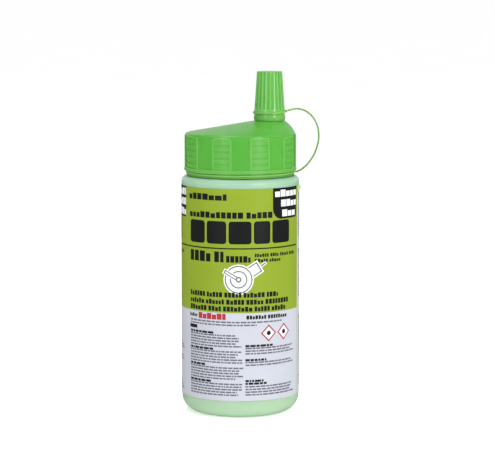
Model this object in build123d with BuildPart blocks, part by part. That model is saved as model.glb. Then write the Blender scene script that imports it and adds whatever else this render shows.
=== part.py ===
"""Chalk powder refill bottle: a blown bottle with a wrap label, a wide screw cap with an
off-centre spout, and a fluted nozzle cap held by a moulded tether. Millimetres, Z up.
The bottle's axis is the Z axis, it stands on Z = 0, and its spout lies toward +X."""

import os
from math import cos, radians, sin

from build123d import *

os.makedirs("parts", exist_ok=True)

# Bottle
body_r = 31.0
shoulder_z = 125.4
bottle_wall = 1.3
base_corner_r = 9.0
shoulder_corner_r = 2.8
standing_ring = 4.5
base_rise = 2.4
shoulder_ledge = 5.6
neck_h = 18.4
neck_wall = 1.7
neck_foot_r = 0.8
mouth_edge_r = 0.4
neck_bead_h = 1.4
neck_bead_out = 1.0
neck_bead_up = 2.2
notch_r = 3.9
notch_depth = 0.9
notch_deg = -122.0

# Neck thread, right-handed, six turns to the inch, in runs with vent gaps between them
thread_pitch = 25.4 / 6
runs_per_turn = 4
thread_runs = 6
run_deg = 75.0
run_start_deg = 8.0
thread_depth = 1.2
thread_root_w = 2.0
thread_crest_w = 1.0
thread_sink = 0.4
thread_up = 6.0
thread_gap = 0.3

# Label and powder
label_t = 0.15
label_z = 10.1
label_top_gap = 4.7
label_seam_deg = -17.0
label_lap_deg = 11.0
powder_gap = 0.05
headspace = 8.6
powder_mound = 2.0

# Liner under the cap's crown
liner_t = 1.2
liner_overhang = 0.7

# Screw cap
shoulder_gap = 0.4
skirt_wall = 2.15
collar_wall = 0.8
collar_h = 2.2
collar_lip_h = 0.6
collar_lip_out = 0.7
foot_bead_h = 1.9
foot_bead_out = 0.55
foot_bead_up = 0.15
foot_bead_r = 0.5
crown_wall = 1.8
roof_wall = 1.95
roof_inset = 0.4
roof_overrun = 0.15
roof_h = 7.29
roof_steps = ((0.0, 0.0), (0.3, 0.45), (0.65, 0.8), (1.0, 1.0))
rim_r = 1.5
rim_rise = 0.97
land_edge = 0.05

# Grip pads round the skirt: an arched frame with ribs inside it
pad_count = 9
pad_deg = -69.3
pad_w = 10.6
pad_crown_gap = 0.1
pad_frame_w = 0.9
pad_frame_out = 0.35
pad_corner_r = 1.7
pad_sink = 0.3
rib_count = 5
rib_pitch = 3.25
rib_h = 1.4
rib_out = 0.2

# Spout
spout_inset = 13.65
spout_h = 17.2
spout_foot_r = 6.1
spout_tip_r = 4.9
spout_wall = 1.4

# Nozzle cap
nozzle_gap = 0.4
nozzle_seat_gap = 0.2
nozzle_h = 25.7
nozzle_wall = 1.3
nozzle_tip_wall = 1.35
nozzle_edge_r = 0.4
band_h = 3.35
band_out = 0.05
band_bulge = 0.35
groove_h = 1.4
groove_wall = 1.4
flange_out = 0.35
flare_h = 2.3
barrel_in = 0.05
plug_gap = 0.4
plug_wall = 1.1
plug_reach = 2.0
flute_count = 20
flute_r = 1.0
flute_depth = 0.5
flute_up = 6.4
flute_deg = 11.0

# Tether, moulded flat in one piece: two rings and the strap between them
tether_t = 1.1
tether_fit = 0.05
tether_side_gap = 0.15
collar_ring_w = 0.85
cap_ring_w = 0.85
strap_w = 2.4
strap_sink = 0.6
strap_foot = (4.6, 1.9)
strap_bulge = (12.6, 19.3)
strap_crest = (11.35, 0.15)

# Radii and levels that follow from the sizes above
neck_r = body_r - shoulder_ledge
mouth_r = neck_r - neck_wall
neck_z = shoulder_z + neck_h
thread_z = shoulder_z + thread_up
skirt_bore_r = neck_r + thread_depth + thread_gap
skirt_r = skirt_bore_r + skirt_wall
collar_r = skirt_bore_r + collar_wall
cap_z = shoulder_z + shoulder_gap
skirt_z = cap_z + collar_h
seat_z = neck_z + liner_t
crown_z = seat_z + crown_wall
hollow_r = mouth_r - liner_overhang
groove_r = spout_foot_r + nozzle_gap + groove_wall
band_r = groove_r + band_out
flange_r = groove_r + flange_out
nozzle_low_r = groove_r - barrel_in
nozzle_top_r = spout_tip_r + nozzle_gap + nozzle_tip_wall
plug_r = spout_tip_r - spout_wall - plug_gap
plug_bore_r = plug_r - plug_wall
land_r = band_r + land_edge
spout_x = skirt_r - spout_inset
roof_spread = skirt_r + roof_overrun - spout_x - land_r
gentle_slope = (roof_h - rim_rise) / (skirt_r + spout_x - land_r)
land_z = crown_z + roof_h
spout_z = land_z + spout_h
nozzle_z = land_z + nozzle_seat_gap
collar_ring_z = cap_z + collar_lip_h + tether_side_gap
collar_ring_r = collar_r + tether_fit + collar_ring_w
cap_ring_z = nozzle_z + band_h + tether_side_gap
cap_ring_r = groove_r + tether_fit + cap_ring_w


def threaded_runs(root_r, crest_r, start_z):
    """Thread ridges in runs up a helix, with their roots sunk into the wall they stand on."""
    sunk = thread_sink if crest_r < root_r else -thread_sink
    with BuildPart() as run:
        with BuildLine():
            helix = Helix(thread_pitch, thread_pitch * run_deg / 360, root_r)
        with BuildSketch(Plane(helix @ 0, x_dir=(1, 0, 0), z_dir=helix % 0)):
            with BuildLine():
                Polyline(
                    (sunk, -thread_root_w / 2),
                    (0, -thread_root_w / 2),
                    (crest_r - root_r, -thread_crest_w / 2),
                    (crest_r - root_r, thread_crest_w / 2),
                    (0, thread_root_w / 2),
                    (sunk, thread_root_w / 2),
                    close=True,
                )
            make_face()
        sweep(path=helix, is_frenet=True)
    with BuildPart() as runs:
        for i in range(thread_runs):
            turns = i / runs_per_turn
            place = (0, 0, start_z + turns * thread_pitch)
            with Locations(Location(place, (0, 0, run_start_deg + turns * 360))):
                add(run.part)
    return runs.part


def slanted_roof(base_z, top_z, top_x, top_r):
    """A roof that falls gently toward -X and rounds down steeply toward +X, lofted through circles."""
    with BuildPart() as roof:
        for fall, reach in roof_steps:
            drop = fall * (top_z - base_z)
            low_x = top_x - top_r - drop / gentle_slope
            high_x = top_x + top_r + reach * roof_spread
            with BuildSketch(Plane.XY.offset(top_z - drop)):
                with Locations(((low_x + high_x) / 2, 0)):
                    Circle((high_x - low_x) / 2)
        loft()
    return roof.part


def flat_ring(centre_x, inner_r, outer_r, base_z, height):
    """A ring of rectangular section about a vertical axis."""
    with BuildPart() as band:
        with BuildSketch(Plane.XY.offset(base_z)):
            with Locations((centre_x, 0)):
                Circle(outer_r)
                Circle(inner_r, mode=Mode.SUBTRACT)
        extrude(amount=height)
    return band.part


# Bottle: turned solid with its neck, then hollowed, threaded and notched
wall_foot_r = body_r - base_corner_r
floor_r = wall_foot_r - standing_ring
inner_r = body_r - bottle_wall
shoulder_r = body_r - shoulder_corner_r
wall_top_z = shoulder_z - shoulder_corner_r
ceiling_z = shoulder_z - bottle_wall
neck_thread = threaded_runs(neck_r, neck_r + thread_depth, thread_z)
notch_x = cos(radians(notch_deg))
notch_y = sin(radians(notch_deg))
notch_plane = Plane(
    (floor_r * notch_x, floor_r * notch_y, notch_depth - notch_r),
    x_dir=(0, 0, 1),
    z_dir=(notch_x, notch_y, 0),
)
with BuildPart() as bottle:
    with BuildSketch(Plane.XZ):
        with BuildLine():
            TangentArc((0, base_rise), (floor_r, 0), tangent=(1, 0))
            Line((floor_r, 0), (wall_foot_r, 0))
            TangentArc((wall_foot_r, 0), (body_r, base_corner_r), tangent=(1, 0))
            Line((body_r, base_corner_r), (body_r, wall_top_z))
            TangentArc((body_r, wall_top_z), (shoulder_r, shoulder_z), tangent=(0, 1))
            Line((shoulder_r, shoulder_z), (neck_r + neck_foot_r, shoulder_z))
            TangentArc(
                (neck_r + neck_foot_r, shoulder_z), (neck_r, shoulder_z + neck_foot_r), tangent=(-1, 0)
            )
            Polyline((neck_r, shoulder_z + neck_foot_r), (neck_r, neck_z), (0, neck_z), (0, base_rise))
        make_face()
    revolve(axis=Axis.Z)
    fillet(faces().sort_by(Axis.Z)[-1].edges(), mouth_edge_r)
    with BuildSketch(Plane.XZ):
        with Locations((neck_r, shoulder_z + neck_bead_up)):
            SlotOverall(2 * neck_bead_out, neck_bead_h)
    revolve(axis=Axis.Z)
    with BuildSketch(Plane.XZ):
        with BuildLine():
            TangentArc((0, base_rise + bottle_wall), (floor_r, bottle_wall), tangent=(1, 0))
            Line((floor_r, bottle_wall), (wall_foot_r, bottle_wall))
            TangentArc((wall_foot_r, bottle_wall), (inner_r, base_corner_r), tangent=(1, 0))
            Line((inner_r, base_corner_r), (inner_r, wall_top_z))
            TangentArc((inner_r, wall_top_z), (shoulder_r, ceiling_z), tangent=(0, 1))
            Polyline(
                (shoulder_r, ceiling_z),
                (mouth_r, ceiling_z),
                (mouth_r, neck_z + neck_wall),
                (0, neck_z + neck_wall),
                (0, base_rise + bottle_wall),
            )
        make_face()
    revolve(axis=Axis.Z, mode=Mode.SUBTRACT)
    add(neck_thread)
    with BuildSketch(notch_plane):
        Circle(notch_r)
    extrude(amount=body_r, mode=Mode.SUBTRACT)
bottle.part.label = "bottle"
export_step(bottle.part, "parts/bottle.step")

# Powder: fills the bottle to a low mound, under a headspace
fill_r = inner_r - powder_gap
fill_floor_z = bottle_wall + powder_gap
powder_z = shoulder_z - headspace
with BuildPart() as chalk_powder:
    with BuildSketch(Plane.XZ):
        with BuildLine():
            TangentArc((0, base_rise + fill_floor_z), (floor_r, fill_floor_z), tangent=(1, 0))
            Line((floor_r, fill_floor_z), (wall_foot_r, fill_floor_z))
            TangentArc((wall_foot_r, fill_floor_z), (fill_r, base_corner_r), tangent=(1, 0))
            Line((fill_r, base_corner_r), (fill_r, powder_z))
            TangentArc((0, powder_z + powder_mound), (fill_r, powder_z), tangent=(1, 0))
            Line((0, powder_z + powder_mound), (0, base_rise + fill_floor_z))
        make_face()
    revolve(axis=Axis.Z)
chalk_powder.part.label = "chalk_powder"
export_step(chalk_powder.part, "parts/chalk_powder.step")

# Label: one sheet round the wall, its end lapped over its start
label_h = shoulder_z - label_top_gap - label_z
lap_plane = Plane.XZ.rotated((0, 0, label_seam_deg - label_lap_deg))
with BuildPart() as wrap_label:
    add(flat_ring(0, body_r, body_r + label_t, label_z, label_h))
    with BuildSketch(lap_plane):
        with Locations((body_r + label_t, label_z)):
            Rectangle(label_t, label_h, align=(Align.MIN, Align.MIN))
    revolve(axis=Axis.Z, revolution_arc=label_lap_deg)
wrap_label.part.label = "wrap_label"
export_step(wrap_label.part, "parts/wrap_label.step")

# Liner: a soft ring that the cap presses on the mouth
with BuildPart() as cap_liner:
    add(flat_ring(0, hollow_r, neck_r, neck_z, liner_t))
cap_liner.part.label = "cap_liner"
export_step(cap_liner.part, "parts/cap_liner.step")

# Screw cap: grip pads first, each built on the +X side of the skirt
pad_z = skirt_z + foot_bead_up + foot_bead_h / 2
pad_h = crown_z - pad_crown_gap - pad_z
slot_w = pad_w - 2 * pad_frame_w
first_rib_z = crown_z - pad_crown_gap - pad_frame_w - rib_h
with BuildPart() as pad_frame:
    with BuildSketch(Plane.YZ):
        with Locations((0, pad_z)):
            Rectangle(pad_w, pad_h, align=(Align.CENTER, Align.MIN))
        fillet(vertices().group_by(Axis.Y)[-1], pad_corner_r)
        with Locations((0, pad_z)):
            Rectangle(slot_w, pad_h - pad_frame_w, align=(Align.CENTER, Align.MIN), mode=Mode.SUBTRACT)
    extrude(amount=skirt_r + pad_w)
    add(
        flat_ring(0, skirt_r - pad_sink, skirt_r + pad_frame_out, pad_z, pad_h),
        mode=Mode.INTERSECT,
    )
with BuildPart() as pad_ribs:
    with BuildSketch(Plane.YZ):
        with Locations((0, first_rib_z - rib_pitch * (rib_count - 1) / 2)):
            with GridLocations(0, rib_pitch, 1, rib_count):
                Rectangle(slot_w, rib_h)
    extrude(amount=skirt_r + pad_w)
    add(
        flat_ring(0, skirt_r - pad_sink, skirt_r + rib_out, pad_z, pad_h),
        mode=Mode.INTERSECT,
    )

# Screw cap: skirt and slanted roof made solid, then hollowed, threaded and given its spout
hollow_top_z = land_z - roof_wall
with BuildPart() as roof_hollow:
    add(slanted_roof(seat_z, hollow_top_z, spout_x - roof_inset, land_r - roof_inset))
    with BuildSketch(Plane.XY.offset(seat_z)):
        Circle(hollow_r)
    extrude(amount=hollow_top_z - seat_z, mode=Mode.INTERSECT)
cap_thread = threaded_runs(skirt_bore_r, skirt_bore_r - thread_depth, thread_z + thread_pitch / 2)
with BuildPart() as screw_cap:
    add(slanted_roof(crown_z, land_z, spout_x, land_r))
    with BuildSketch(Plane.XY.offset(crown_z)):
        Circle(skirt_r)
    extrude(amount=land_z - crown_z, mode=Mode.INTERSECT)
    with BuildSketch(Plane.XY.offset(skirt_z)):
        Circle(skirt_r)
    extrude(amount=crown_z - skirt_z)
    rim = edges().filter_by(lambda e: skirt_z + rim_r < e.center().Z < land_z - rim_r)
    fillet(rim.filter_by(lambda e: e.bounding_box().size.X > skirt_r), rim_r)
    with BuildSketch(Plane.XY.offset(cap_z)):
        Circle(collar_r)
    extrude(amount=collar_h)
    with BuildSketch(Plane.XY.offset(cap_z)):
        Circle(collar_r + collar_lip_out)
    extrude(amount=collar_lip_h)
    with BuildSketch(Plane.XY.offset(skirt_z + foot_bead_up)):
        Circle(skirt_r + foot_bead_out)
    extrude(amount=foot_bead_h)
    fillet(edges().filter_by(lambda e: e.bounding_box().size.X > 2 * skirt_r + foot_bead_out), foot_bead_r)
    with PolarLocations(0, pad_count, start_angle=pad_deg):
        add(pad_frame.part)
        add(pad_ribs.part)
    with Locations((spout_x, 0, land_z)):
        Cone(spout_foot_r, spout_tip_r, spout_h, align=(Align.CENTER, Align.CENTER, Align.MIN))
    with BuildSketch(Plane.XY.offset(cap_z)):
        Circle(skirt_bore_r)
    extrude(amount=seat_z - cap_z, mode=Mode.SUBTRACT)
    add(roof_hollow.part, mode=Mode.SUBTRACT)
    with Locations((spout_x, 0, hollow_top_z)):
        Cone(
            spout_foot_r - spout_wall,
            spout_tip_r - spout_wall,
            spout_z - hollow_top_z,
            align=(Align.CENTER, Align.CENTER, Align.MIN),
            mode=Mode.SUBTRACT,
        )
    add(cap_thread)
screw_cap.part.label = "screw_cap"
export_step(screw_cap.part, "parts/screw_cap.step")

# Nozzle cap: turned about the spout's axis, with flutes cut down its taper
nozzle_plane = Plane((spout_x, 0, nozzle_z), x_dir=(1, 0, 0), z_dir=(0, -1, 0))
nozzle_axis = Axis((spout_x, 0, nozzle_z), (0, 0, 1))
flange_h = band_h + groove_h
barrel_h = flange_h + flare_h
bore_top_h = nozzle_h - nozzle_wall
spout_top_h = spout_h - nozzle_seat_gap
bore_foot_r = spout_foot_r + nozzle_gap
bore_r = spout_tip_r + nozzle_gap
taper = (nozzle_low_r - nozzle_top_r) / (nozzle_h - barrel_h)
flute_foot = Vector(nozzle_low_r + (barrel_h - flute_up) * taper + flute_r - flute_depth, 0, flute_up)
flute_run = Vector(-taper, 0, 1) * (nozzle_h - flute_up + flute_r)
with BuildPart() as flute:
    with BuildSketch(Plane(flute_foot, x_dir=(0, 1, 0), z_dir=flute_run)):
        Circle(flute_r)
    extrude(amount=flute_run.length)
    with Locations(flute_foot):
        Sphere(flute_r)
with BuildPart() as nozzle_cap:
    with BuildSketch(nozzle_plane):
        with BuildLine():
            Line((0, 0), (band_r, 0))
            ThreePointArc((band_r, 0), (band_r + band_bulge, band_h / 2), (band_r, band_h))
            Polyline((band_r, band_h), (groove_r, band_h), (groove_r, flange_h), (flange_r, flange_h))
            TangentArc((nozzle_low_r, barrel_h), (flange_r, flange_h), tangent=(taper, -1))
            Polyline((nozzle_low_r, barrel_h), (nozzle_top_r, nozzle_h), (0, nozzle_h), (0, 0))
        make_face()
    revolve(axis=nozzle_axis)
    fillet(faces().sort_by(Axis.Z)[-1].edges(), nozzle_edge_r)
    with Locations((spout_x, 0, nozzle_z)):
        with PolarLocations(0, flute_count, start_angle=flute_deg):
            add(flute.part, mode=Mode.SUBTRACT)
    with BuildSketch(nozzle_plane):
        with BuildLine():
            Polyline(
                (0, 0),
                (bore_foot_r, 0),
                (bore_r, spout_top_h),
                (bore_r, bore_top_h),
                (0, bore_top_h),
                close=True,
            )
        make_face()
    revolve(axis=nozzle_axis, mode=Mode.SUBTRACT)
    with BuildSketch(Plane.XY.offset(spout_z - plug_reach)):
        with Locations((spout_x, 0)):
            Circle(plug_r)
            Circle(plug_bore_r, mode=Mode.SUBTRACT)
    extrude(amount=nozzle_z + bore_top_h - spout_z + plug_reach)
nozzle_cap.part.label = "nozzle_cap"
export_step(nozzle_cap.part, "parts/nozzle_cap.step")

# Tether: a big ring in the cap's collar, a small one in the nozzle cap's groove
with BuildPart() as tether_collar_ring:
    add(flat_ring(0, collar_r + tether_fit, collar_ring_r, collar_ring_z, tether_t))
tether_collar_ring.part.label = "tether_collar_ring"
export_step(tether_collar_ring.part, "parts/tether_collar_ring.step")

with BuildPart() as tether_cap_ring:
    add(flat_ring(spout_x, groove_r + tether_fit, cap_ring_r, cap_ring_z, tether_t))
tether_cap_ring.part.label = "tether_cap_ring"
export_step(tether_cap_ring.part, "parts/tether_cap_ring.step")

# Strap: three tangent arcs that swing out past the skirt and up to the nozzle cap
low_x = collar_ring_r
low_z = collar_ring_z + tether_t / 2
high_x = spout_x + cap_ring_r
high_z = cap_ring_z + tether_t / 2
bulge = (low_x + strap_bulge[0], low_z + strap_bulge[1])
foot = (low_x + strap_foot[0], low_z + strap_foot[1])
crest = (high_x + strap_crest[0], high_z + strap_crest[1])
with BuildPart() as tether_strap:
    with BuildSketch(Plane.XZ):
        with BuildLine():
            rise = TangentArc(bulge, crest, tangent=(0, 1))
            over = TangentArc(crest, (high_x, high_z), tangent=rise % 1)
            fall = TangentArc(bulge, foot, tangent=(0, -1))
            under = TangentArc(foot, (low_x, low_z), tangent=fall % 1)
            Line(over @ 1, over @ 1 + (over % 1) * strap_sink)
            Line(under @ 1, under @ 1 + (under % 1) * strap_sink)
        trace(line_width=tether_t)
    extrude(amount=strap_w / 2, both=True)
    with Locations((0, 0, low_z)):
        Cylinder(collar_ring_r, foot[1] - cap_z, mode=Mode.SUBTRACT)
    with Locations((spout_x, 0, high_z)):
        Cylinder(cap_ring_r, band_h, mode=Mode.SUBTRACT)
tether_strap.part.label = "tether_strap"
export_step(tether_strap.part, "parts/tether_strap.step")
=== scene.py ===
"""Looks for the chalk powder bottle: materials, printed label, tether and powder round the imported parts."""

import math
import random

import bmesh
import bpy
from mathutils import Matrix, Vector
from mathutils.geometry import delaunay_2d_cdt


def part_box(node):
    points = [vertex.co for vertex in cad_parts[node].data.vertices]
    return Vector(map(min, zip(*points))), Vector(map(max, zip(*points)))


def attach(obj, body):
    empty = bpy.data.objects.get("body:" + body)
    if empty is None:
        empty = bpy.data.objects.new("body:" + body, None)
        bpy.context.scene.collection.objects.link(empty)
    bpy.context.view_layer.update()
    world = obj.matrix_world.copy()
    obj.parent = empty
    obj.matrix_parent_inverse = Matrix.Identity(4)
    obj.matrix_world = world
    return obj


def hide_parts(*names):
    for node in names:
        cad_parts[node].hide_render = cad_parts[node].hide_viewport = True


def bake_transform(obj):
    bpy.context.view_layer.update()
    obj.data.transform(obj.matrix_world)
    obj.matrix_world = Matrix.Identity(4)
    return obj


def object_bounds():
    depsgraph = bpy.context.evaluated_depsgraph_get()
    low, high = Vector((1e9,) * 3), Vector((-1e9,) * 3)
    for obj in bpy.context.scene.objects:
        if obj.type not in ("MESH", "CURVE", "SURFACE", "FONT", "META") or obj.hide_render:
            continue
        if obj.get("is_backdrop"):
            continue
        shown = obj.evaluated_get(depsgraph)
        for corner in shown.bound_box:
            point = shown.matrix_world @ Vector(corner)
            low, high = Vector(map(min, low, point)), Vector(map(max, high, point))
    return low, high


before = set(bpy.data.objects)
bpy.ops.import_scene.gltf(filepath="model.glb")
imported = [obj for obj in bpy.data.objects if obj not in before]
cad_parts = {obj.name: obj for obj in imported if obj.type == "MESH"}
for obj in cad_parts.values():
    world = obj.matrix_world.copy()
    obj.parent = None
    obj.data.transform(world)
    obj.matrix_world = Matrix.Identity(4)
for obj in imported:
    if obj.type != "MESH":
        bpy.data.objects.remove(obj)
cad_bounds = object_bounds()
MM = 0.001

# ---------------------------------------------------------------- places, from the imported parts
body_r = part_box("bottle")[1].x
cap_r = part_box("screw_cap")[1].y
strap_reach_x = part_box("tether_strap")[1].x
label_low, label_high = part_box("wrap_label")
nozzle_low, nozzle_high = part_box("nozzle_cap")
big_low, big_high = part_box("tether_collar_ring")
small_low, small_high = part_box("tether_cap_ring")
powder_low, powder_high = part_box("chalk_powder")
spout_x = (nozzle_low.x + nozzle_high.x) / 2


# ---------------------------------------------------------------- node helpers
class Nodes:
    """A node tree, with short calls for the nodes used here."""

    def __init__(self, tree):
        self.tree = tree

    def node(self, kind, inputs=None, **settings):
        made = self.tree.nodes.new(kind)
        for key, value in settings.items():
            setattr(made, key, value)
        for key, value in (inputs or {}).items():
            self.feed(made.inputs[key], value)
        return made

    def feed(self, socket, value):
        if isinstance(value, bpy.types.NodeSocket):
            self.tree.links.new(value, socket)
        else:
            socket.default_value = value

    def math(self, operation, *values, clamp=False):
        made = self.node("ShaderNodeMath", operation=operation, use_clamp=clamp)
        for socket, value in zip(made.inputs, values):
            self.feed(socket, value)
        return made.outputs[0]

    def between(self, value, start, stop, at_start=0.0, at_stop=1.0):
        """Goes from at_start to at_stop as value goes from start to stop, and holds outside that."""
        ends = {"From Min": start, "From Max": stop, "To Min": at_start, "To Max": at_stop}
        return self.node("ShaderNodeMapRange", {"Value": value, **ends}).outputs[0]


class Shader(Nodes):
    """A material's nodes, placed in the object's own space."""

    def __init__(self, name):
        self.material = bpy.data.materials.new(name)
        self.material.use_nodes = True
        super().__init__(self.material.node_tree)
        self.surface = self.tree.nodes["Principled BSDF"]
        self.place = self.node("ShaderNodeTexCoord").outputs["Object"]

    def set(self, **values):
        for key, value in values.items():
            self.feed(self.surface.inputs[key.replace("_", " ")], value)

    def noise(self, scale, detail, roughness=0.5, stretch=(1, 1, 1), seed=0.0):
        shift = {"Vector": self.place, "Scale": stretch, "Location": (seed,) * 3}
        mapped = self.node("ShaderNodeMapping", shift).outputs[0]
        look = {"Vector": mapped, "Scale": scale, "Detail": detail, "Roughness": roughness}
        return self.node("ShaderNodeTexNoise", look).outputs["Fac"]

    def ramp(self, value, *stops):
        made = self.node("ShaderNodeValToRGB", {"Fac": value})
        elements = made.color_ramp.elements
        while len(elements) < len(stops):
            elements.new(0.5)
        for element, (position, color) in zip(elements, stops):
            element.position = position
            element.color = (*color, 1)
        return made.outputs["Color"]

    def mix(self, fac, a, b):
        made = self.node("ShaderNodeMix", data_type="RGBA")
        self.feed(made.inputs[0], fac)
        for socket, value in ((made.inputs[6], a), (made.inputs[7], b)):
            self.feed(socket, value if isinstance(value, bpy.types.NodeSocket) else (*value, 1))
        return made.outputs[2]

    def bump(self, height, distance, strength, under=None):
        made = self.node("ShaderNodeBump", {"Height": height, "Distance": distance, "Strength": strength})
        if under is not None:
            self.feed(made.inputs["Normal"], under)
        return made.outputs[0]

    def along(self, axis):
        return self.node("ShaderNodeSeparateXYZ", {"Vector": self.place}).outputs[axis]

    def reach(self, centre_x=0.0):
        """Distance from the upright axis through (centre_x, 0)."""
        out = self.node("ShaderNodeVectorMath", {0: self.place, 1: (centre_x, 0, 0)}, operation="SUBTRACT")
        level = self.node("ShaderNodeVectorMath", {0: out.outputs[0], 1: (1, 1, 0)}, operation="MULTIPLY")
        return self.node("ShaderNodeVectorMath", {0: level.outputs[0]}, operation="LENGTH").outputs["Value"]

    def edges(self, radius):
        """Near 1 on edges and corners, near 0 on flat faces."""
        rounded = self.node("ShaderNodeBevel", {"Radius": radius}, samples=4).outputs[0]
        normal = self.node("ShaderNodeNewGeometry").outputs["Normal"]
        dot = self.node("ShaderNodeVectorMath", {0: rounded, 1: normal}, operation="DOT_PRODUCT")
        return self.math("MULTIPLY", self.math("SUBTRACT", 1.0, dot.outputs["Value"]), 6.0, clamp=True)


def dress(name, material, soften=0.0):
    """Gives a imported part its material, and rounds its sharp edges by soften."""
    if soften:
        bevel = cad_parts[name].modifiers.new("moulded_edges", "BEVEL")
        bevel.width = soften
        bevel.segments = 2
        bevel.limit_method = "ANGLE"
        bevel.angle_limit = math.radians(35)
    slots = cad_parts[name].data.materials
    slots.clear()
    slots.append(material)


# ---------------------------------------------------------------- mesh helpers
def add_object(name, mesh, *materials):
    """Puts a mesh in the scene with its materials."""
    made = bpy.data.objects.new(name, mesh)
    for material in materials:
        mesh.materials.append(material)
    bpy.context.scene.collection.objects.link(made)
    return made


def smooth_mesh(name, bm):
    """Turns a bmesh into a smooth-shaded mesh with its faces outward."""
    bmesh.ops.recalc_face_normals(bm, faces=bm.faces)
    mesh = bpy.data.meshes.new(name)
    bm.to_mesh(mesh)
    bm.free()
    for polygon in mesh.polygons:
        polygon.use_smooth = True
    return mesh


def bridge(bm, a, b):
    """Joins two rings of the same number of points with faces."""
    for k in range(len(a)):
        j = (k + 1) % len(a)
        bm.faces.new((a[k], a[j], b[j], b[k]))


# ---------------------------------------------------------------- plastics
# edge width for the milky pale edges, partly wear and partly a painted highlight
HIGHLIT_WORN_EDGE = 0.45 * MM
BARREL_H = 7.05 * MM
BARREL_LOW_R = 7.85 * MM
BARREL_TOP_R = 6.65 * MM
PAD_R = cap_r - 0.45 * MM
GLOW = (0.5, 1.0, 0.35)


def moulded_plastic(name, base, dark, light, roughness, depth, glow, paler, blur):
    """Coloured polyethylene: cloudy colour, light inside it, fine moulding texture, and milky pale edges that
    are partly wear and partly a painted highlight.

    depth is the share of light that goes in, glow how far each colour of it goes, in units of blur,
    and paler(shader) is where the colour turns light.
    """
    s = Shader(name)
    cloud = s.noise(90, 4, 0.55)
    flow = s.noise(14, 3, 0.6, stretch=(1, 1, 0.25), seed=3.1)
    color = s.ramp(flow, (0.3, dark), (0.52, base), (0.75, light))
    color = s.mix(s.between(cloud, 0, 1, 0.0, 0.22), color, light)
    color = s.mix(paler(s), color, light)
    scuffs = s.between(s.noise(300, 3, 0.7, seed=8.0), 0, 1, 0.45, 1.0)
    # edges and corners are mixed toward a milky pale: partly wear, partly a painted highlight
    worn_and_highlit = s.math("MULTIPLY", s.edges(HIGHLIT_WORN_EDGE), scuffs)
    milky_highlight = tuple(min(1, c * 1.5 + 0.07) for c in light)
    s.set(
        Base_Color=s.mix(s.math("MULTIPLY", worn_and_highlit, 0.6), color, milky_highlight),
        Subsurface_Weight=depth,
        Subsurface_Radius=glow,
        Subsurface_Scale=blur,
        IOR=1.51,
        Specular_IOR_Level=0.5,
    )
    haze = s.between(s.noise(160, 5, 0.65), 0, 1, roughness - 0.07, roughness + 0.09)
    s.set(Roughness=s.math("ADD", haze, s.math("MULTIPLY", worn_and_highlit, 0.12)))
    fine = s.bump(s.noise(2600, 2, 0.5, seed=5.0), 0.02 * MM, 0.5)
    s.set(Normal=s.bump(s.noise(70, 2, 0.4, seed=1.7), 0.25 * MM, 0.35, under=fine))
    return s.material


def pads_milky_and_highlit(s):
    """Higher on the grip pads, which stand proud of the skirt: partly their milkier thicker wall, partly a
    painted highlight; 0 elsewhere.
    """
    return s.between(s.reach(), PAD_R, PAD_R + 0.15 * MM, 0.0, 0.5)


def filled_height(s):
    """1 where powder stands behind the wall, easing to 0 at the headspace above it."""
    return s.between(s.along("Z"), powder_high.z, powder_high.z - 4 * MM)


def ridges_highlit_flutes_shaded(s):
    """High on the nozzle cap's ridges and 0 in the floors of its flutes: a painted highlight on the ridges
    and painted shade in the flutes.

    It goes by how far in from the cap's taper a point lies.
    """
    taper = s.between(s.along("Z"), nozzle_low.z + BARREL_H, nozzle_high.z, BARREL_LOW_R, BARREL_TOP_R)
    depth = s.math("SUBTRACT", taper, s.reach(spout_x))
    return s.between(depth, 0.08 * MM, 0.4 * MM, 0.65, 0.0)


def tether_rings(s):
    """1 on the tether's two rings, which look lighter against the caps, and 0 along its strap."""
    return s.between(s.along("X"), big_high.x - 0.5 * MM, big_high.x + 2 * MM, 1.0, 0.0)


cap_green = moulded_plastic(
    "cap_green_polyethylene",
    (0.085, 0.42, 0.038),
    (0.07, 0.37, 0.032),
    (0.165, 0.49, 0.085),
    roughness=0.28,
    depth=0.35,
    glow=GLOW,
    # painted highlight: the raised pads turn paler, partly for their thicker, milkier wall
    paler=pads_milky_and_highlit,
    blur=2 * MM,
)
nozzle_green = moulded_plastic(
    "nozzle_green_polyethylene",
    (0.07, 0.35, 0.033),
    (0.055, 0.3, 0.027),
    (0.2, 0.55, 0.12),
    roughness=0.17,
    depth=0.25,
    glow=GLOW,
    # painted highlight on the ridges, painted shade in the flutes
    paler=ridges_highlit_flutes_shaded,
    blur=1 * MM,
)
tether_green = moulded_plastic(
    "tether_green_polyethylene",
    (0.14, 0.34, 0.05),
    (0.12, 0.29, 0.045),
    (0.21, 0.51, 0.1),
    roughness=0.36,
    depth=0.2,
    glow=GLOW,
    paler=tether_rings,
    blur=1 * MM,
)
bottle_mint = moulded_plastic(
    "bottle_mint_polyethylene",
    (0.36, 0.60, 0.42),
    (0.32, 0.56, 0.41),
    (0.42, 0.61, 0.41),
    roughness=0.3,
    depth=0.5,
    glow=(0.7, 1.0, 0.7),
    paler=filled_height,
    blur=4 * MM,
)


def foam():
    """Off-white closed-cell foam."""
    s = Shader("liner_foam")
    cells = s.node("ShaderNodeTexVoronoi", {"Vector": s.place, "Scale": 2200.0}).outputs["Distance"]
    s.set(Base_Color=s.ramp(cells, (0.0, (0.62, 0.63, 0.6)), (0.6, (0.82, 0.83, 0.8))), Roughness=0.85)
    s.set(Normal=s.bump(cells, 0.1 * MM, 0.6))
    return s.material


def chalk():
    """Dull, lumpy pale green powder."""
    s = Shader("chalk_powder_green")
    lumps = s.noise(260, 6, 0.65)
    color = s.ramp(lumps, (0.3, (0.36, 0.62, 0.3)), (0.55, (0.47, 0.74, 0.4)), (0.8, (0.6, 0.83, 0.52)))
    s.set(Base_Color=color, Roughness=0.97, Specular_IOR_Level=0.1)
    grain = s.bump(s.noise(3000, 2), 0.1 * MM, 0.6)
    s.set(Normal=s.bump(lumps, 0.6 * MM, 0.7, under=grain))
    return s.material


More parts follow.
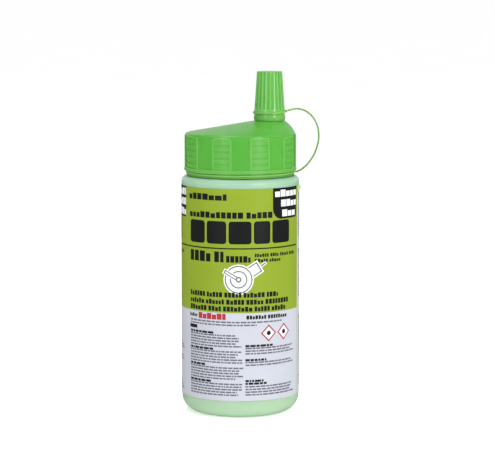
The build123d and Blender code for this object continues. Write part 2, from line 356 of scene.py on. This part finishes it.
# ---------------------------------------------------------------- label: a sheet cut along every printed edge
LIME, GREY, BLACK, WHITE, RED, DIM, FILM = range(7)
INKS = (
    ("label_lime", (0.275, 0.385, 0.016), 0.42),
    ("label_lavender_grey", (0.57, 0.59, 0.66), 0.45),
    ("label_black_ink", (0.006, 0.008, 0.007), 0.42),
    ("label_white_ink", (0.85, 0.86, 0.86), 0.42),
    ("label_red_ink", (0.45, 0.028, 0.04), 0.4),
    ("label_grey_ink", (0.14, 0.14, 0.175), 0.42),
    ("label_bare_film", (0.44, 0.56, 0.25), 0.3),
)

# Places on the label are degrees round from its front (-Y) toward +X, and heights in mm.
PRINT_SEED = 11
PRINT_LIFT = 0.8
LABEL_BOTTOM = label_low.z / MM
LABEL_TOP = label_high.z / MM
TOP = LABEL_TOP - PRINT_LIFT
LIME_FOOT = 55.5 + PRINT_LIFT
SEAM = 73.0
START = SEAM - 360.0
PANEL_TURN = -134.0
PALE_PANEL_END = -213.0
DEG_PER_MM = math.degrees(1 / (body_r / MM + 0.2))
REEL_A, REEL_Z, REEL_LEAN, CRANK_LEAN = -1.5, 73.0, 32, 150
BADGE_CORNER, BADGE_SMALL_CORNER = 5.5, 1.8
FINE_PITCH, FINE_HEIGHT = 1.42, 1.0


def outline(a0, a1, z0, z1):
    return [(a0, z0), (a1, z0), (a1, z1), (a0, z1)]


def arc(a, z, radius, first, last, steps):
    """Places round (a, z), from first to last degrees counter-clockwise from its right."""
    turns = [math.radians(first + (last - first) * k / steps) for k in range(steps + 1)]
    side = radius * DEG_PER_MM
    return [(a + side * math.cos(t), z + radius * math.sin(t)) for t in turns]


class Print:
    """Printed areas as (polygon of places, ink), later ones on top."""

    def __init__(self):
        self.rng = random.Random(PRINT_SEED)
        self.areas = []

    def block(self, a0, a1, z0, z1, ink):
        self.areas.append((outline(a0, a1, z0, z1), ink))

    def diamond(self, a, z, half, ink):
        side = half * DEG_PER_MM
        self.areas.append(([(a - side, z), (a, z - half), (a + side, z), (a, z + half)], ink))

    def disc(self, a, z, radius, ink):
        self.areas.append((arc(a, z, radius, 0, 342, 19), ink))

    def slanted(self, a, z, length, width, lean, ink):
        """A bar that starts at (a, z) and runs length along lean degrees from level."""
        ux, uz = math.cos(math.radians(lean)), math.sin(math.radians(lean))
        corners = ((0, -width / 2), (length, -width / 2), (length, width / 2), (0, width / 2))
        shape = [(a + (ux * u - uz * v) * DEG_PER_MM, z + uz * u + ux * v) for u, v in corners]
        self.areas.append((shape, ink))

    def badge(self, a0, a1, z0, z1, ink):
        """A block with a large rounded corner at its lower left and a small one at its lower right."""
        left, right = BADGE_CORNER, BADGE_SMALL_CORNER
        foot = arc(a0 + left * DEG_PER_MM, z0 + left, left, 180, 270, 8)
        foot += arc(a1 - right * DEG_PER_MM, z0 + right, right, 270, 360, 8)
        self.areas.append((foot + [(a1, z1), (a0, z1)], ink))

    def rounded(self, a0, a1, z0, z1, corner, ink):
        """A block with four rounded corners."""
        side = corner * DEG_PER_MM
        shape = arc(a1 - side, z1 - corner, corner, 0, 90, 4)
        shape += arc(a0 + side, z1 - corner, corner, 90, 180, 4)
        shape += arc(a0 + side, z0 + corner, corner, 180, 270, 4)
        shape += arc(a1 - side, z0 + corner, corner, 270, 360, 4)
        self.areas.append((shape, ink))

    def words(self, a0, a1, z0, z1, ink, longest, shortest, gap):
        """A line of print as plain bars with gaps between them."""
        a = a0
        while a < a1 - 0.6:
            b = min(a + self.rng.uniform(shortest, longest), a1)
            self.block(a, b, z0, z1, ink)
            a = b + gap

    def letters(self, a0, a1, z0, z1, ink, width, gap, word):
        """A line of larger print as plain blocks in uneven groups."""
        a, left = a0, word
        while a < a1 - 0.5 * width:
            side = width * self.rng.uniform(0.8, 1.15)
            self.block(a, min(a + side, a1), z0, z1 - (z1 - z0) * self.rng.choice((0, 0, 0.22)), ink)
            a += side + gap
            left -= 1
            if not left:
                a += 2.2 * gap
                left = word + self.rng.choice((-2, -1, 0, 2))

    def paragraph(self, a0, a1, top, bottom, pitch, height, ink, heading):
        """Lines of print from top down to bottom, with a short bold one at every heading-th line."""
        line, z = 0, top
        while z - height > bottom:
            if heading and line % heading == 0:
                end = a0 + self.rng.uniform(0.3, 0.55) * (a1 - a0)
                self.words(a0, end, z - height * 1.15, z, BLACK, 6.5, 1.6, 0.7)
            else:
                end = a1 - self.rng.uniform(0, 0.14 * (a1 - a0))
                self.words(a0, end, z - height * 0.8, z, ink, 6.5, 1.6, 0.7)
            z -= pitch
            line += 1


def print_title(art):
    """The badge, the title's rows and the rule under them."""
    art.badge(33.0, 69.0, 103.8, TOP, BLACK)
    for row, (left, right) in enumerate(((35.5, 68.5), (43.0, 68.5), (44.5, 68.5))):
        art.letters(left, right, 115.3 - 5.2 * row, 118.9 - 5.2 * row, WHITE, 6.2, 0.8, 9)
    art.letters(-58.0, -13.0, 113.9, 117.2, BLACK, 6.4, 1.0, 12)
    art.letters(-57.0, 33.0, 104.7, 107.9, BLACK, 4.6, 1.0, 11)
    letter = -56.0
    for width in (20.0, 20.5, 22.0, 17.0, 22.5):
        art.rounded(letter, letter + width, 91.4, 103.2, 1.6, BLACK)
        letter += width + 2.2
    art.block(-77.0, 69.0, 88.7, 89.4, BLACK)


def print_amounts(art):
    art.letters(-56.0, -16.0, 81.9, 87.4, BLACK, 6.0, 1.3, 4)
    art.letters(-13.5, 10.0, 81.9, 85.3, BLACK, 3.4, 0.8, 9)
    art.letters(14.0, 64.0, 84.6, 86.4, BLACK, 2.0, 0.6, 6)
    art.letters(14.0, 44.0, 81.9, 83.7, BLACK, 2.2, 0.6, 5)


def print_reel(art):
    """A plain line drawing of a round line reel with a crank and a hook."""
    for length, width, ink in ((13.4, 7.2, WHITE), (12.7, 5.8, DIM), (12.0, 4.6, WHITE)):
        art.slanted(REEL_A + 0.5, REEL_Z, length, width, REEL_LEAN, ink)
    for length, width, ink in ((3.6, 1.6, WHITE), (3.2, 0.7, DIM)):
        art.slanted(REEL_A + 21.5, REEL_Z + 6.8, length, width, REEL_LEAN, ink)
    for radius, ink in ((8.0, WHITE), (7.3, DIM), (6.7, WHITE), (4.6, DIM), (4.0, WHITE)):
        art.disc(REEL_A, REEL_Z, radius, ink)
    for length, width, ink in ((9.2, 3.0, WHITE), (8.6, 1.9, DIM), (8.0, 0.9, WHITE)):
        art.slanted(REEL_A, REEL_Z, length, width, CRANK_LEAN, ink)
    for radius, ink in ((1.5, DIM), (0.8, WHITE)):
        art.disc(REEL_A, REEL_Z, radius, ink)


def print_notices(art):
    """The larger lines under the drawing, and the red line below them."""
    for z, end in ((63.7, 39.0), (60.0, 56.0), (56.4, 50.0)):
        art.letters(-56.0, end, z - 0.1, z + 2.5, BLACK, 2.9, 0.7, 6)
    art.letters(-57.0, -46.0, 52.4, 54.2, BLACK, 1.9, 0.5, 9)
    art.letters(-44.0, -14.0, 51.8, 55.0, RED, 4.4, 0.6, 9)
    art.letters(6.0, 52.0, 52.2, 54.2, BLACK, 2.3, 0.6, 7)
    for z, end in ((50.2, 44.0), (48.7, 16.0)):
        art.words(-56.0, end, z, z + 0.8, DIM, 6, 2, 0.8)
    art.block(-57.0, -46.0, 46.4, 48.2, BLACK)


def print_fine(art):
    """Two red diamonds and the columns of fine print."""
    for a in (28.5, 46.7):
        art.diamond(a, 44.6, 4.5, RED)
        art.diamond(a, 44.6, 3.5, WHITE)
        art.disc(a, 44.6, 1.2, BLACK)
    art.paragraph(-56.0, 3.0, 45.4, 10.6, FINE_PITCH, FINE_HEIGHT, DIM, 6)
    for top, bottom, heading in ((38.8, 33.2, 6), (31.4, 27.2, 6), (20.4, 17.6, 1), (17.2, 11.0, 0)):
        art.paragraph(5.0, 64.0, top, bottom, FINE_PITCH, FINE_HEIGHT, DIM, heading)


def print_layout():
    """The same panel twice round the label, with plain text between."""
    art = Print()
    for turned in (0.0, PANEL_TURN):
        before = len(art.areas)
        for section in (print_title, print_amounts, print_reel, print_notices, print_fine):
            section(art)
        moved = [([(a + turned, z) for a, z in shape], ink) for shape, ink in art.areas[before:]]
        art.areas[before:] = moved
    for top, bottom in ((116.0, 92.0), (86.0, 60.0), (51.0, 13.0)):
        art.paragraph(-281.0, -216.0, top, bottom, 1.6, 1.05, BLACK, 5)
    return [([(a, z + PRINT_LIFT) for a, z in shape], ink) for shape, ink in art.areas]


SHEET_T = 0.12 * MM
SHEET_GAP = 0.03 * MM
LAP_DEG = 11.0
LAP_LIFT = 0.14 * MM
CURL_DEG, CURL_MM, CURL_LIFT = 5.0, 5.6, 2.3 * MM
MARGIN_DEG = 1.5
BARE_CORNER_DEG, BARE_CORNER_MM = 3.6, 6.5
COLUMNS = 144


def spot(a, z, r):
    """A point at a degrees from the label's front (-Y) toward +X, height z mm, radius r."""
    t = math.radians(a)
    return Vector((r * math.sin(t), -r * math.cos(t), z * MM))


def flat_label():
    """The label laid flat in degrees and mm: its points, its triangles, and the ink of each."""
    shapes = [
        (outline(START, SEAM, LABEL_BOTTOM, LIME_FOOT), GREY),
        (outline(START, SEAM, LIME_FOOT, LABEL_TOP), LIME),
        (outline(START, PALE_PANEL_END, LIME_FOOT, LABEL_TOP), GREY),
    ]
    shapes += print_layout()
    shapes.append((outline(SEAM - MARGIN_DEG, SEAM, LABEL_BOTTOM, LABEL_TOP), FILM))
    corner = [(SEAM, LABEL_TOP - BARE_CORNER_MM), (SEAM, LABEL_TOP), (SEAM - BARE_CORNER_DEG, LABEL_TOP)]
    shapes.append((corner, FILM))
    verts, faces, edges = [], [], []
    for shape, _ in shapes:
        cut = [(min(max(a, START), SEAM), min(max(z, LABEL_BOTTOM), LABEL_TOP)) for a, z in shape]
        faces.append(list(range(len(verts), len(verts) + len(cut))))
        verts += [Vector(point) for point in cut]

    def line(a0, z0, a1, z1):
        edges.append((len(verts), len(verts) + 1))
        verts.extend((Vector((a0, z0)), Vector((a1, z1))))

    for k in range(1, COLUMNS):
        a = START + 360.0 * k / COLUMNS
        line(a, LABEL_BOTTOM, a, LABEL_TOP)
    # a finer grid where the corner curls
    for k in range(1, 14):
        line(SEAM - 8.0, LABEL_TOP - 0.45 * k, SEAM, LABEL_TOP - 0.45 * k)
    for k in range(1, 8):
        line(SEAM - 1.0 * k, LABEL_TOP, SEAM - 1.0 * k, LABEL_TOP - 6.0)
    points, _, triangles, _, _, origins = delaunay_2d_cdt(verts, edges, faces, 1, 1e-4)
    return points, triangles, [shapes[max(came_from)][1] for came_from in origins]


def printed_label():
    """The label wrapped round the body, with its end lapped over its start and one corner curling off."""
    points, triangles, inks = flat_label()
    places = []
    for p in points:
        lap = min(max((p.x - (SEAM - LAP_DEG)) / LAP_DEG, 0.0), 1.0)
        corner = max(0.0, 1 - math.hypot((SEAM - p.x) / CURL_DEG, (LABEL_TOP - p.y) / CURL_MM))
        out = SHEET_GAP + SHEET_T + LAP_LIFT * lap + CURL_LIFT * corner ** 1.3
        places.append(spot(p.x, p.y, body_r + out))
    mesh = bpy.data.meshes.new("wrap_label_printed")
    mesh.from_pydata(places, [], [list(t) for t in triangles])
    for polygon, ink in zip(mesh.polygons, inks):
        polygon.material_index = ink
        polygon.use_smooth = True
    return mesh


def print_material(name, color, roughness):
    """Varnished print on film: faint mottle, tiny creases and a slight haze of handling."""
    s = Shader(name)
    mottle = s.noise(420, 4, 0.6)
    cloud = s.noise(38, 3, 0.5, seed=2.2)
    shade = tuple(c * 0.9 for c in color)
    pale = tuple(min(1.0, c * 1.06 + 0.004) for c in color)
    tone = s.mix(s.between(cloud, 0, 1), shade, pale)
    s.set(Base_Color=s.mix(s.between(mottle, 0, 1, 0.0, 0.12), tone, pale), Specular_IOR_Level=0.3)
    s.set(Roughness=s.between(s.noise(120, 4, 0.6, seed=4.0), 0, 1, roughness - 0.06, roughness + 0.08))
    waves = s.bump(s.noise(45, 2, 0.4, stretch=(1, 1, 0.35), seed=6.0), 0.2 * MM, 0.3)
    s.set(Normal=s.bump(s.noise(1500, 2, 0.5, seed=9.0), 0.01 * MM, 0.3, under=waves))
    return s.material


def build_label():
    inks = [print_material(name, color, roughness) for name, color, roughness in INKS]
    label = add_object("wrap_label_printed", printed_label(), *inks)
    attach(label, "bottle_body")
    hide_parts("wrap_label")


# ---------------------------------------------------------------- tether: two rings and a strap, one moulding
RING_INSET = 0.425 * MM
RING_SECTION = (0.84 * MM, 1.08 * MM, 0.22 * MM)
RING_LIFT = 0.7 * MM
RING_PULL = 0.4 * MM
STRAP_T = 0.8 * MM
STRAP_W = 2.4 * MM
STRAP_CORNER = 0.3 * MM


def sweep(bm, path, section, closed):
    """Sweeps section(share), (sideways, up) points at that share of the way, along (place, sideways, up)."""
    rings = []
    for k, (place, side, up) in enumerate(path):
        share = k / (len(path) - 1)
        rings.append([bm.verts.new(place + side * u + up * v) for u, v in section(share)])
    for a, b in zip(rings, rings[1:]):
        bridge(bm, a, b)
    if closed:
        bridge(bm, rings[-1], rings[0])
    else:
        bm.faces.new(list(reversed(rings[0])))
        bm.faces.new(rings[-1])


def rounded_box(width, height, corner):
    """A rounded rectangle's outline as (sideways, up) points, counter-clockwise."""
    points = []
    for cx, cy, start in ((1, 1, 0), (-1, 1, 90), (-1, -1, 180), (1, -1, 270)):
        for k in range(4):
            t = math.radians(start + 30 * k)
            across = cx * (width / 2 - corner) + corner * math.cos(t)
            points.append((across, cy * (height / 2 - corner) + corner * math.sin(t)))
    return points


def ring_path(centre_x, radius, z, steps, lift=0.0, pull=0.0):
    """A ring's centre line, with its +X side lifted and pulled outward by the strap."""
    path = []
    for k in range(steps):
        t = 2 * math.pi * k / steps
        share = max(0.0, math.cos(t)) ** 2
        out = Vector((math.cos(t), math.sin(t), 0))
        place = Vector((centre_x, 0, z + lift * share)) + out * (radius + pull * share)
        path.append((place, out, Vector((0, 0, 1))))
    return path


STRAP_FROM_COLLAR = ((-0.4, 0.0), (1.2, 0.1), (4.6, 1.9), (8.8, 6.6), (11.6, 12.4))
STRAP_TO_CAP = ((11.0, -0.7), (6.0, 1.2), (1.8, 0.7), (-0.4, 0.1))


def strap_path():
    """Centre line in the XZ plane, from the collar ring out, up and over to the nozzle cap's ring."""
    low_x, low_z = big_high.x, (big_low.z + big_high.z) / 2
    high_x, high_z = small_high.x + RING_PULL, (small_low.z + small_high.z) / 2 + RING_LIFT
    bulge_x, bulge_z = strap_reach_x - STRAP_T / 2, low_z + 19.3 * MM
    marks = [(low_x + x * MM, low_z + z * MM) for x, z in STRAP_FROM_COLLAR]
    marks += [(bulge_x, bulge_z), (bulge_x - 1.6 * MM, bulge_z + 6.9 * MM)]
    marks += [(high_x + x * MM, high_z + z * MM) for x, z in STRAP_TO_CAP]
    curve = bpy.data.curves.new("strap_line", "CURVE")
    curve.dimensions = "3D"
    spline = curve.splines.new("BEZIER")
    spline.bezier_points.add(len(marks) - 1)
    for point, (x, z) in zip(spline.bezier_points, marks):
        point.co = (x, 0, z)
        point.handle_left_type = point.handle_right_type = "AUTO"
    spline.resolution_u = 8
    holder = bpy.data.objects.new("strap_line", curve)
    line = [v.co.copy() for v in bpy.data.meshes.new_from_object(holder).vertices]
    bpy.data.objects.remove(holder)
    path = []
    for k, place in enumerate(line):
        along = (line[min(k + 1, len(line) - 1)] - line[max(k - 1, 0)]).normalized()
        side = Vector((0, 1, 0))
        path.append((place, side, along.cross(side).normalized()))
    return path


def build_tether():
    bm = bmesh.new()
    ring_section = rounded_box(*RING_SECTION)
    big_z = (big_low.z + big_high.z) / 2
    small_z = (small_low.z + small_high.z) / 2
    small_r = (small_high.x - small_low.x) / 2 - RING_INSET
    sweep(bm, ring_path(0, big_high.x - RING_INSET, big_z, 160), lambda share: ring_section, True)
    small_ring = ring_path(spout_x, small_r, small_z, 72, RING_LIFT, RING_PULL)
    sweep(bm, small_ring, lambda share: ring_section, True)

    def strap_section(share):
        flare = 1 + 0.55 * max(0.0, 1 - min(share, 1 - share) / 0.06) ** 2
        return rounded_box(STRAP_W * flare, STRAP_T, STRAP_CORNER)

    sweep(bm, strap_path(), strap_section, False)
    tether = add_object("tether_moulding", smooth_mesh("tether_moulding", bm), tether_green)
    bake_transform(tether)
    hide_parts("tether_collar_ring", "tether_strap", "tether_cap_ring")


# ---------------------------------------------------------------- powder: a settled heap
POWDER_SEED = 5
POWDER_STEPS = 96
POWDER_SHARES = (0.99, 0.95, 0.89, 0.82, 0.75, 0.67, 0.59, 0.51, 0.43, 0.35, 0.27, 0.19, 0.11, 0.05)


def build_powder():
    rng = random.Random(POWDER_SEED)
    rim = powder_high.x - 0.15 * MM
    floor = powder_low.z + 0.4 * MM
    top = powder_high.z - 2.2 * MM
    limits = ((-1, 1), (-1, 1), (0, 6.28), (0.1, 0.45))
    waves = [tuple(rng.uniform(low, high) for low, high in limits) for _ in range(26)]

    def surface(x, y):
        """The heap's height at (x, y): a low mound with lumps on it."""
        lumps = 0
        for k, (a, b, c, w) in enumerate(waves):
            lumps += w * math.sin((a * x + b * y) * 520 * (1 + k / 9) + c) / (1 + k / 6)
        mound = 1 - (math.hypot(x, y) / rim) ** 2
        return top + 1.2 * MM * mound + 0.35 * MM * max(-2.2, min(2.2, lumps))

    bm = bmesh.new()
    turns = [2 * math.pi * k / POWDER_STEPS for k in range(POWDER_STEPS)]

    def ring(r, height):
        spots = [(r * math.cos(t), r * math.sin(t)) for t in turns]
        return [bm.verts.new((x, y, height(x, y))) for x, y in spots]

    side = [(rim * 0.9, floor), (rim * 0.97, floor + 1.2 * MM), (rim, floor + 4 * MM)]
    side += [(rim, floor + 4 * MM + (top - floor - 5 * MM) * k / 8) for k in range(1, 9)]
    rings = [ring(r, lambda x, y, z=z: z) for r, z in side]
    rings += [ring(share * rim, surface) for share in POWDER_SHARES]
    for a, b in zip(rings, rings[1:]):
        bridge(bm, a, b)
    bm.faces.new(list(reversed(rings[0])))
    bm.faces.new(rings[-1])
    powder = add_object("settled_powder", smooth_mesh("settled_powder", bm), chalk())
    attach(powder, "bottle_body")
    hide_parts("chalk_powder")


build_label()
build_tether()
build_powder()
dress("bottle", bottle_mint)
dress("screw_cap", cap_green, soften=0.12 * MM)
dress("nozzle_cap", nozzle_green)
dress("cap_liner", foam())


# ---------------------------------------------------------------- studio
FLOOR_HALF = 20.0
FLOOR_GLOW = 0.42
LIT_SPOT = Vector((0, 0, 0.1))
CAMERA_AT = (0.0038, -1.159, 0.2314)
CAMERA_TILT = 6.57
CAMERA_LENS = 160.3


def stage():
    """A white floor that glows a little, except in the object's gloss, where it is dark."""
    s = Shader("studio_floor")
    mirrored = s.node("ShaderNodeLightPath").outputs["Is Glossy Ray"]
    s.set(
        Base_Color=s.ramp(s.noise(6, 2), (0.3, (0.93, 0.93, 0.93)), (0.7, (0.96, 0.96, 0.96))),
        Roughness=0.9,
        Specular_IOR_Level=0.0,
        Emission_Color=(1, 1, 1, 1),
        Emission_Strength=s.math("MULTIPLY_ADD", mirrored, -FLOOR_GLOW, FLOOR_GLOW),
    )
    dark = s.node("ShaderNodeBsdfDiffuse", {"Color": (0.12, 0.12, 0.12, 1)})
    both = s.node("ShaderNodeMixShader", {0: mirrored, 1: s.surface.outputs[0], 2: dark.outputs[0]})
    s.feed(s.tree.nodes["Material Output"].inputs["Surface"], both.outputs[0])
    mesh = bpy.data.meshes.new("studio_floor")
    h = FLOOR_HALF
    mesh.from_pydata([(-h, -h, 0), (h, -h, 0), (h, h, 0), (-h, h, 0)], [], [(0, 1, 2, 3)])
    add_object("studio_floor", mesh, s.material)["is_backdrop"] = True


def softbox(name, place, size, power):
    light = bpy.data.lights.new(name, "AREA")
    light.shape = "RECTANGLE"
    light.size, light.size_y = size
    light.energy = power
    holder = bpy.data.objects.new(name, light)
    holder.location = place
    holder.rotation_euler = (LIT_SPOT - Vector(place)).to_track_quat("-Z", "Y").to_euler()
    bpy.context.scene.collection.objects.link(holder)


def studio_world():
    """White light, weaker from behind and from the left, and with its own strength in reflections.

    The camera sees plain white.
    """
    world = bpy.data.worlds.new("studio_world")
    world.use_nodes = True
    n = Nodes(world.node_tree)
    way = n.node("ShaderNodeTexCoord").outputs["Generated"]
    split = n.node("ShaderNodeSeparateXYZ", {0: way})
    rays = n.node("ShaderNodeLightPath")
    card_behind = n.between(split.outputs["Y"], 0.72, 0.9, 1.0, 0.12)
    left_falloff = n.between(split.outputs["X"], -0.9, 0.1, 0.18, 0.8)
    lighting = n.math("MULTIPLY", card_behind, left_falloff)
    mirrored = n.between(split.outputs["Y"], 0.5, 0.8, 0.3, 0.7)
    shown = n.node("ShaderNodeMix", {"Factor": rays.outputs["Is Glossy Ray"], "A": lighting, "B": mirrored})
    seen = n.math("MAXIMUM", shown.outputs[0], rays.outputs["Is Camera Ray"])
    background = n.tree.nodes["Background"]
    n.feed(background.inputs["Strength"], seen)
    n.feed(background.inputs["Color"], (1, 1, 1, 1))
    bpy.context.scene.world = world


def studio():
    stage()
    studio_world()
    softbox("key_right", (0.74, -0.95, 0.5), (0.12, 0.9), 4.4)
    softbox("fill_left", (-0.66, -1.0, 0.5), (0.09, 0.9), 2.3)
    softbox("top", (-0.25, -0.1, 1.1), (0.6, 0.6), 3.4)


def camera():
    lens = bpy.data.cameras.new("camera")
    lens.sensor_width = 36.0
    lens.lens = CAMERA_LENS
    lens.clip_end = 50
    holder = bpy.data.objects.new("camera", lens)
    holder.location = CAMERA_AT
    holder.rotation_euler = (math.radians(90 - CAMERA_TILT), 0, 0)
    bpy.context.scene.collection.objects.link(holder)
    bpy.context.scene.camera = holder


studio()
camera()
bpy.context.scene.view_settings.view_transform = "Standard"


def plain(value):
    return [plain(v) for v in value] if hasattr(value, "__len__") else float(value)


{"cad": plain(cad_bounds), "visual": plain(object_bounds())}
